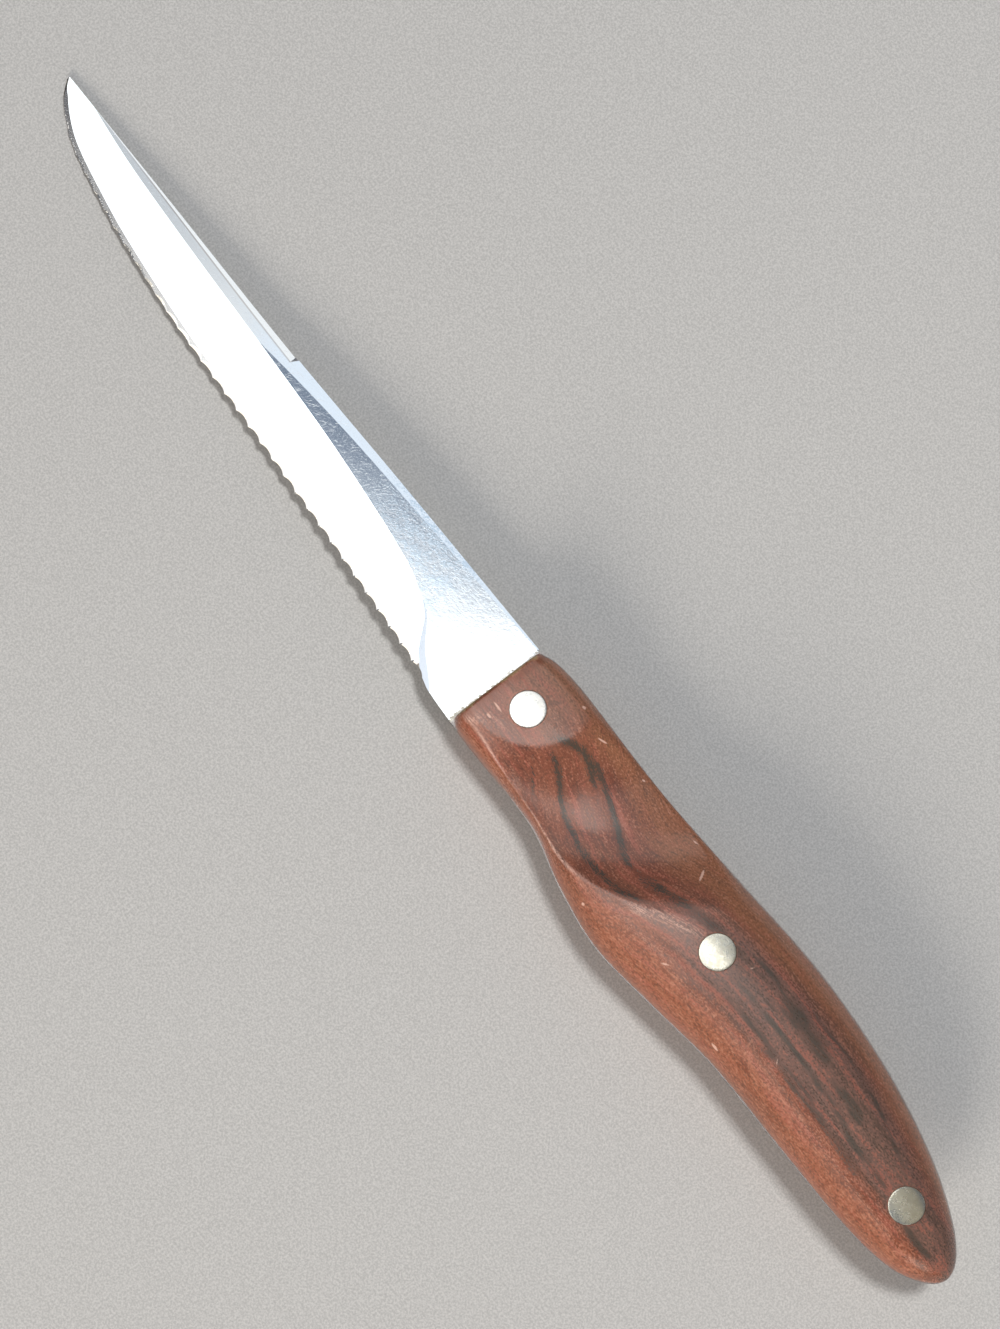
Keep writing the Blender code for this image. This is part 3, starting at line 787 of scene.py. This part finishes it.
def make_scale(name, side):
    """A bored scale, on the upper face of the tang where side is 1 and on the lower where it is -1."""
    turn = math.pi / 2 / SCALE_STEPS
    front = [-FRONT_ROUNDING * (1 - math.cos(math.pi / 2 * i / FRONT_STEPS)) for i in range(FRONT_STEPS + 1)]
    back = [-HANDLE_LENGTH * math.sin(turn * i) for i in range(1, SCALE_STEPS)]
    places = front + [x for x in back if x < FRONT_CLEARANCE * front[-1]] + [LEAST_STEP - HANDLE_LENGTH]
    mesh = solid_through(name, [scale_ring(x, side) for x in places])
    store_marks(mesh, wood_marks(mesh))
    top = side * DRILL_TOP
    seat = side * (BLADE_STOCK / 2 + HEAD_SEAT)
    head = RIVET_HEAD_RADIUS + RIVET_RING
    tube = RIVET_TUBE_RADIUS + RIVET_EASE
    return drill(mesh, ((head, top), (head, seat), (tube, seat), (tube, 0)))


# Pale nicks in the surface of the upper scale, in millimetres: from (x, y), to (x, y), and width
NICKS = (
    ((-43.9, -6.9), (-45.1, -4.6), 0.35), ((-17, -6.7), (-19, -7.5), 0.28),
    ((-11.8, -8.1), (-12.2, -8.2), 0.4), ((-26.7, -8.2), (-27.2, -8.4), 0.35),
    ((-1.9, 2.5), (-4.7, 2.6), 0.3), ((-2.9, 4.6), (-4.1, 4.5), 0.3),
    ((-50.9, 8.4), (-52.4, 7.3), 0.3), ((-60.5, -1.8), (-61, -2.8), 0.3),
    ((-65.7, 9.9), (-67.7, 9.9), 0.3), ((-75, 4.6), (-74, 3.3), 0.25),
    ((-39, -8.3), (-40.6, -8.6), 0.25), ((-36, 11.8), (-36.3, 11.8), 0.35),
)
NICK_TOP = 6.0
FRONT_CORNER = 9.6
REDDISH = rgba(0.185, 0.055, 0.029)
CLOUDY_RED = rgba(0.24, 0.076, 0.040)
ORANGE = rgba(0.305, 0.099, 0.049)
RUSSET = rgba(0.19, 0.052, 0.022)
BROWN = rgba(0.258, 0.096, 0.045)
TAN = rgba(0.30, 0.145, 0.088)
# Greyed tone of the swell's core, partly a painted sheen
GREYED_SHEEN = rgba(0.138, 0.078, 0.060)
RED_FIBRE = rgba(0.34, 0.095, 0.058)
DARK_FIBRE = rgba(0.055, 0.034, 0.022)
STREAK = rgba(0.035, 0.036, 0.027)
PALE_FLECK = rgba(0.48, 0.21, 0.125)
DARK_FLECK = rgba(0.06, 0.036, 0.024)
# Pale wear for the nicks, also laid as painted highlights on the crest, the front corner and the crease
PALE_WEAR_AND_HIGHLIGHT = rgba(0.75, 0.46, 0.35)
GRIME = rgba(0.34, 0.25, 0.11)
WOOD_ROUGHNESS = 0.21
WOOD_GLOSS = 0.7
WOOD_BUMP = 0.00008
WOOD_BUMP_STRENGTH = 0.35
wood, graph = start_material("reddish_scale_wood")
place = knife_millimetres(graph)
x = place.axis("X")
y = place.axis("Y")
z = place.axis("Z")
layer = graph.attribute("layer")
streak = graph.attribute("streak")
flank = graph.attribute("flank")
back = graph.attribute("back")
worn = graph.attribute("worn")
rub_and_highlight = graph.attribute("rub_and_highlight")
wobble = stretched_noise(graph, place, (11, 3, 3), detail=3.0, offset=12.0)
along = graph.node("CombineXYZ", inputs={"X": x, "Y": layer + 2.2 * (wobble - 0.5), "Z": z})
fibre = stretched_noise(graph, along, (17, 1.0, 2.5), detail=5.0, offset=1.0)
hair = stretched_noise(graph, along, (6.0, 0.2, 0.5), detail=3.0, offset=2.0)
cloud = stretched_noise(graph, along, (9, 2.6, 4), detail=4.0, offset=3.0)
grain = stretched_noise(graph, place, (0.4, 0.26, 0.26), detail=3.0, offset=5.0)
blotch = stretched_noise(graph, along, (3.2, 1.3, 1.5), detail=4.0, offset=8.0)
pores = stretched_noise(graph, place, (0.7, 0.4, 0.4), offset=14.0)

# Broad colours: red, brown along the back, greyed in the swell's core, partly as a painted sheen, tan in
# front, orange on the flank
core = x.step(-40, -58) * flank.step(1.0, -2.5) * back.step(1.5, -2.5)
colour = graph.blend(cloud.step(0.38, 0.62), REDDISH, CLOUDY_RED)
colour = graph.blend((back + 5 * (cloud - 0.5)).step(-2, 2), colour, BROWN)
# The swell's core greyed, partly as a painted sheen
colour = graph.blend(core * 0.85, colour, GREYED_SHEEN)
colour = graph.blend(x.step(-16, -10) * back.step(-9, -2) * 0.5, colour, TAN)
colour = graph.blend((flank + 5 * (cloud - 0.5) + 3 * (blotch - 0.5)).step(-2.5, 2), colour, ORANGE)
flank_rim = flank.step(5, 1.5) * flank.step(-3, 0) * x.step(-36, -50)
colour = graph.blend(blotch.step(0.48, 0.61) * flank_rim * 0.85, colour, RUSSET)

# Fibres, pores and flecks, then the dark lines of the figure
ragged = fibre + (0.34 + 0.3 * core) * (grain - 0.5)
red_share = 0.2 + 0.42 * back.step(1, -2) - 0.12 * core
colour = graph.blend(ragged.step(0.53, 0.66) * red_share, colour, RED_FIBRE)
colour = graph.blend(ragged.step(0.48, 0.36) * (0.25 + 0.3 * core), colour, DARK_FIBRE)
on_flank = flank.step(-2, 1)
colour = graph.blend(pores.step(0.52, 0.64) * on_flank * 0.75, colour, RUSSET)
colour = graph.blend(pores.step(0.46, 0.32) * on_flank * 0.5, colour, PALE_FLECK)
flecked = grain + 0.5 * (hair - 0.5)
colour = graph.blend(flecked.step(0.52, 0.7) * (0.42 - 0.2 * core), colour, PALE_FLECK)
colour = graph.blend(flecked.step(0.48, 0.32) * 0.5, colour, DARK_FLECK)
patchy = 2.6 * (hair - 0.5) + 2.8 * (grain - 0.5) + 2.2 * core * (blotch - 0.5)
broken = (streak + patchy).step(0.32, 0.8) * streak.step(0.02, 0.22)
colour = graph.blend(broken * (0.88 - 0.16 * core), colour, STREAK)

# Wear and painted highlights: the rim of the hollow and the rubbed places, paled partly as painted
# highlights, a darker border, a paler band and dirt along the front edge, and the nicks
# Pale wear along the rim of the hollow, partly a painted highlight on its crease
colour = graph.blend(worn * (hair + grain).step(0.75, 1.1) * 0.85, colour, PALE_WEAR_AND_HIGHLIGHT)
# Pale rubbed places, partly painted highlights on the crest and the front corner
colour = graph.blend(rub_and_highlight * (hair + 0.6 * grain).step(0.72, 0.95) * 0.6, colour, PALE_WEAR_AND_HIGHLIGHT)
front = x - FRONT_SLANT * (y - FRONT_CORNER)
front = front + 1.2 * (blotch - 0.5) + 0.9 * (grain - 0.5)
arris = z.most(-1 * z).step(4.2, 5.2)
colour = graph.blend(front.step(-2.2, -1.0) * 0.6, colour, RUSSET)
colour = graph.blend(front.step(-0.7, -0.25) * y.step(3, -3) * 0.5, colour, PALE_FLECK)
colour = graph.blend(front.step(-0.45, -0.1) * arris * 0.75, colour, GRIME)
nicked = None
for (x0, y0), (x1, y1), width in NICKS:
    sockets = {
        "Vector": place,
        "Location": ((x0 + x1) / 2, (y0 + y1) / 2, NICK_TOP),
        "Rotation": (0, 0, math.atan2(y1 - y0, x1 - x0)),
        "Scale": (math.hypot(x1 - x0, y1 - y0) / 2 + width, width, NICK_TOP),
    }
    spot = graph.node("Mapping", {"vector_type": "TEXTURE"}, sockets)
    spot = graph.node("TexGradient", {"gradient_type": "SPHERICAL"}, {"Vector": spot}, output="Fac")
    nicked = spot if nicked is None else nicked.most(spot)
nicked = (nicked + 0.5 * (grain - 0.5)).step(0.25, 0.6)
colour = graph.blend(nicked * 0.75, colour, PALE_WEAR_AND_HIGHLIGHT)
roughness = WOOD_ROUGHNESS + 0.2 * (hair - 0.5) + 0.24 * (grain - 0.5)
relief = grain * 0.5 + hair * 0.35 + cloud * 1.5 - nicked * 0.8
graph.finish({
    "Base Color": colour,
    "Roughness": roughness + 0.18 * flank.step(0, 2) + 0.1 * core,
    "Specular IOR Level": WOOD_GLOSS,
    "Normal": graph.bump(WOOD_BUMP_STRENGTH, WOOD_BUMP, relief),
})

for name, side in (("scale_upper", 1), ("scale_lower", -1)):
    scale = add_piece(f"{name}_wood", make_scale(name, side))
    scale.data.materials.append(wood)
    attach(scale, "root")
    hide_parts(name)

# Rivets: three compression rivets of nickel silver, each a stud with a pin pressed into the tube of a barrel.
# Their heads are sanded flush with the wood, so each follows the curve of the scale round it.
HEAD_PROUD = 0.00003
HEAD_DOME = 0.00006
HEAD_RIM = 0.00012
PIN_RADIUS = 0.001
BORE_RADIUS = 0.0011
BARREL_FLOOR = 0.0028
AXIS_RADIUS = 0.00001
HEAD_RINGS = 10
RIM_STEPS = 4
HEAD_SIDES = 96


def rivet_ring(centre, radius, side, height):
    """A circle about the rivet's axis, at a height, or on a face whose height is a function of x and y."""
    ring = []
    for i in range(HEAD_SIDES):
        turn = math.tau * i / HEAD_SIDES
        x = centre[0] + radius * math.cos(turn)
        y = centre[1] + radius * math.sin(turn)
        z = height(x, y) if callable(height) else height
        ring.append((Vector((x, y, side * z)), False))
    return ring


def rivet_half(name, centre, side, inner):
    """A head that follows the wood, then the inner profile of (radius, height) down to its end."""
    base = BLADE_STOCK / 2 + GLUE_LINE

    def face(radius, sunk):
        dome = HEAD_DOME * (1 - (radius / RIVET_HEAD_RADIUS) ** 2)
        return lambda x, y: base + scale_height(x, y) + HEAD_PROUD + dome - sunk

    flat = RIVET_HEAD_RADIUS - HEAD_RIM
    rings = []
    for i in range(HEAD_RINGS + 1):
        radius = max(flat * i / HEAD_RINGS, AXIS_RADIUS)
        rings.append(rivet_ring(centre, radius, side, face(radius, 0.0)))
    for i in range(1, RIM_STEPS + 1):
        turn = math.pi / 2 * i / RIM_STEPS
        radius = flat + HEAD_RIM * math.sin(turn)
        rings.append(rivet_ring(centre, radius, side, face(radius, HEAD_RIM * (1 - math.cos(turn)))))
    for radius, height in inner:
        rings.append(rivet_ring(centre, radius, side, height))
    return solid_through(name, rings)


NICKEL = rgba(0.71, 0.69, 0.59)
NICKEL_DULL = rgba(0.56, 0.52, 0.40)
# Painted highlight: a whiter nickel for the front rivet
NICKEL_HIGHLIGHT = rgba(0.85, 0.84, 0.81)
NICKEL_ROUGHNESS = 0.26
NICKEL_BUMP = 0.00003
NICKEL_BUMP_STRENGTH = 0.12
nickel, graph = start_material("rivet_nickel_silver")
place = knife_millimetres(graph)
dull = stretched_noise(graph, place, (0.7, 0.6, 2), angle=0.3, detail=5.0, offset=2.0).step(0.35, 0.75)
fine = stretched_noise(graph, place, (1.6, 0.07, 2), angle=0.8, offset=9.0).step(0.56, 0.68)
fine = fine.most(stretched_noise(graph, place, (1.4, 0.06, 2), angle=-0.5, offset=3.0).step(0.58, 0.68))
towards_butt = place.axis("X").step(-20, -50)
colour = graph.blend(dull * (0.25 + 0.35 * towards_butt), NICKEL, NICKEL_DULL)
# The front rivet is laid whiter as a painted highlight, fading out toward the butt
colour = graph.blend(0.8 - 0.8 * towards_butt, colour, NICKEL_HIGHLIGHT)
graph.finish({
    "Base Color": colour,
    "Metallic": 1.0,
    "Roughness": NICKEL_ROUGHNESS + 0.06 * dull + 0.1 * fine,
    "Normal": graph.bump(NICKEL_BUMP_STRENGTH, NICKEL_BUMP, dull * 0.3 - fine),
})

seat = BLADE_STOCK / 2 + HEAD_SEAT + RIVET_EASE
pin_end = RIVET_EASE - BARREL_FLOOR
tube_end = RIVET_EASE - seat
stud_inner = ((RIVET_HEAD_RADIUS, seat), (PIN_RADIUS, seat), (PIN_RADIUS, pin_end), (AXIS_RADIUS, pin_end))
barrel_inner = (
    (RIVET_HEAD_RADIUS, seat), (RIVET_TUBE_RADIUS, seat), (RIVET_TUBE_RADIUS, tube_end),
    (BORE_RADIUS, tube_end), (BORE_RADIUS, BARREL_FLOOR), (AXIS_RADIUS, BARREL_FLOOR),
)
for name, centre in RIVET_PLACES.items():
    for half, side, inner in (("stud", 1, stud_inner), ("barrel", -1, barrel_inner)):
        node = f"{name}_rivet_{half}"
        rivet = add_piece(f"{node}_metal", rivet_half(node, centre, side, inner))
        rivet.data.materials.append(nickel)
        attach(rivet, "root")
        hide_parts(node)

# Studio: a plain pale floor under level softboxes, which the blade, the rivets and the handle's top reflect.
# The key, high beyond the spine, lays a narrow shadow on the side of the edge, and the fill, low beyond the
# edge, a broad soft one on the side of the spine. The lamps don't show in the gloss.
FLOOR_SIZE = 4.0
FLOOR_DROP = 0.00005
FLOOR_TOOTH = 2900.0
FLOOR_PALE = rgba(0.588, 0.562, 0.528)
FLOOR_GREY = rgba(0.432, 0.413, 0.388)
floor_mesh = bpy.data.meshes.new("floor")
reach = FLOOR_SIZE / 2
corners = [(-reach, -reach), (reach, -reach), (reach, reach), (-reach, reach)]
floor_mesh.from_pydata([(x, y, -FLOOR_DROP) for x, y in corners], [], [(0, 1, 2, 3)])
floor = bpy.data.objects.new("floor", floor_mesh)
bpy.context.scene.collection.objects.link(floor)
paper, graph = start_material("pale_floor")
place = graph.node("TexCoord", output="Object")
sockets = {"Vector": place, "Scale": FLOOR_TOOTH, "Detail": 2.0, "Roughness": 0.7}
tooth = graph.node("TexNoise", inputs=sockets)
graph.finish({
    "Base Color": graph.blend(tooth.step(0.3, 0.7), FLOOR_PALE, FLOOR_GREY),
    "Roughness": 0.85,
    "Specular IOR Level": 0.2,
})
floor_mesh.materials.append(paper)

WHITE = (1, 0.965, 0.91)
COOL = (0.95, 0.98, 1)
WARM = (1, 0.95, 0.87)
BLUISH = (0.8, 0.88, 1)
ICY = (0.91, 0.94, 1)
STRAW = (1, 0.8, 0.42)
AMBER = (1, 0.66, 0.2)
SOFTBOX_HEIGHT = 1.0
OVERHEAD = Vector((0, 0, SOFTBOX_HEIGHT))
SLOT_CORNER = Vector((-0.08, -0.19, SOFTBOX_HEIGHT))
SLOT_ANGLE = math.radians(19.4)
# Level softboxes along the dark slot that the flat of the blade reflects: name, two opposite corners measured
# along and across the slot, radiance and colour
SLOT_SOFTBOXES = (
    ("main_handle", (0.06, 0.01), (0.24, 0.2), 4.7, WHITE),
    ("main_rim", (0.24, -0.09), (0.45, -0.025), 0.15, BLUISH),
    ("main_rim", (0.24, -0.025), (0.45, -0.015), 0.22, BLUISH),
    ("main_rim", (0.24, -0.015), (0.45, -0.005), 0.36, COOL),
    ("main_rim", (0.24, -0.005), (0.45, 0.005), 0.62, COOL),
    ("main_rim", (0.24, 0.005), (0.45, 0.02), 1.14, WHITE),
    ("main_rim", (0.24, 0.02), (0.45, 0.08), 1.68, WHITE),
    ("main_blade", (0.24, 0.08), (0.45, 0.367), 4.2, WHITE),
    ("over_tip", (0.45, -0.13), (0.9, 0.3), 2.0, WHITE),
)
# Level softboxes for the other facets, in the same form, measured along and across the knife
LEVEL_SOFTBOXES = (
    ("over_edge", (-0.1, 0.33), (0.47, 0.68), 2.4, WHITE),
    ("over_tip_edge", (0.47, 0.33), (1.2, 0.68), 0.15, AMBER),
    ("over_back_facet", (0.05, -0.4), (0.35, -0.15), 1.05, COOL),
    ("over_front_facet", (0.35, -0.4), (0.375, -0.15), 1.0, WARM),
    ("over_front_facet", (0.375, -0.4), (0.4, -0.15), 0.85, WARM),
    ("over_front_facet", (0.4, -0.4), (0.425, -0.15), 0.74, WARM),
    ("over_front_facet", (0.425, -0.4), (0.65, -0.15), 0.67, WARM),
    ("over_false_edge", (0.1, -0.95), (0.65, -0.4), 1.15, WARM),
    ("over_butt", (-1.0, -0.75), (-0.16, 0.15), 0.34, STRAW),
)
# Softboxes that face the knife from the side of its edge: name, middle, size, radiance and colour
SIDE_SOFTBOXES = (
    ("over_plunge", (0.8, 0.9, 0.58), (1.0, 0.4), 1.06, ICY),
    ("edge_side", (0.1, 0.95, 0.85), (1.0, 0.6), 1.4, WARM),
    ("butt_side", (-0.9, 0.6, 0.5), (0.5, 0.4), 2.1, WARM),
)
# Lamps that light the floor, in the same form
LAMPS = (
    ("key", (0.0, -0.31, 1.3), (0.18, 0.18), 108.0, COOL),
    ("fill", (-0.75, 1.1, 0.6), (0.55, 0.55), 18.3, WARM),
)


def add_softbox(name, middle, rotation, size, radiance, colour):
    """An area light with an even radiance."""
    lamp = bpy.data.lights.new(name, "AREA")
    lamp.shape = "RECTANGLE"
    lamp.size = size[0]
    lamp.size_y = size[1]
    lamp.energy = radiance * math.pi * size[0] * size[1]
    lamp.color = colour
    softbox = bpy.data.objects.new(name, lamp)
    softbox.location = middle
    softbox.rotation_euler = rotation
    bpy.context.scene.collection.objects.link(softbox)
    return softbox


def add_level_softbox(origin, turn, name, corner, opposite, radiance, colour):
    """A softbox that shines down, with corners measured from an origin and turned about it."""
    size = (opposite[0] - corner[0], opposite[1] - corner[1])
    middle = Vector(((corner[0] + opposite[0]) / 2, (corner[1] + opposite[1]) / 2, 0))
    middle = origin + Matrix.Rotation(turn, 3, "Z") @ middle
    return add_softbox(name, middle, (0, 0, turn), size, radiance, colour)


def add_facing_softbox(name, middle, size, radiance, colour):
    """A softbox that faces the middle of the knife."""
    towards = Vector((0, 0, 0)) - Vector(middle)
    return add_softbox(name, middle, towards.to_track_quat("-Z", "Y").to_euler(), size, radiance, colour)


for row in SLOT_SOFTBOXES:
    add_level_softbox(SLOT_CORNER, SLOT_ANGLE, *row).visible_diffuse = False
for row in LEVEL_SOFTBOXES:
    add_level_softbox(OVERHEAD, 0.0, *row).visible_diffuse = False
for row in SIDE_SOFTBOXES:
    add_facing_softbox(*row).visible_diffuse = False
for row in LAMPS:
    add_facing_softbox(*row).visible_glossy = False

# Room: what the gloss reflects past the softboxes, and what softens the shadows on the floor. It is dim and
# bluish overhead, and pale and warm round the sides.
ROOM_ABOVE = rgba(0.09, 0.125, 0.19)
ROOM_SIDES = rgba(0.27, 0.245, 0.235)
world = bpy.data.worlds.new("room")
world.use_nodes = True
graph = Wire(world.node_tree)
direction = graph.node("TexCoord", output="Generated")
room = graph.blend(direction.axis("Z").step(0.3, 0.8), ROOM_SIDES, ROOM_ABOVE)
graph.feed(world.node_tree.nodes["Background"], {"Color": room})
bpy.context.scene.world = world
bpy.context.scene.view_settings.view_transform = "Standard"

# Camera: almost straight above the knife, a little towards its butt and its edge, turned until the knife lies
# across the frame from the upper left to the lower right.
CAMERA_TARGET = Vector((0.0000632, -0.0040953, 0.008))
CAMERA_AZIMUTH = math.radians(115)
CAMERA_ELEVATION = math.radians(85)
CAMERA_DISTANCE = 0.55
CAMERA_ROLL = 0.4555157
FOCAL_PIXELS = 3415.305
FRAME_HEIGHT = 1329
SENSOR = 36.0
NEAREST = 0.01
lens = bpy.data.cameras.new("camera")
lens.sensor_width = SENSOR
lens.lens = SENSOR * FOCAL_PIXELS / FRAME_HEIGHT
lens.clip_start = NEAREST
camera = bpy.data.objects.new("camera", lens)
level = math.cos(CAMERA_ELEVATION)
outward = Vector((
    level * math.cos(CAMERA_AZIMUTH),
    level * math.sin(CAMERA_AZIMUTH),
    math.sin(CAMERA_ELEVATION),
))
right = (-outward).cross(Vector((0, 0, 1))).normalized()
turned = Matrix.Rotation(-CAMERA_ROLL, 3, -outward) @ right
upward = outward.cross(turned)
axes = Matrix((turned, upward, outward)).transposed()
camera.matrix_world = Matrix.Translation(CAMERA_TARGET + outward * CAMERA_DISTANCE) @ axes.to_4x4()
bpy.context.scene.collection.objects.link(camera)
bpy.context.scene.camera = camera
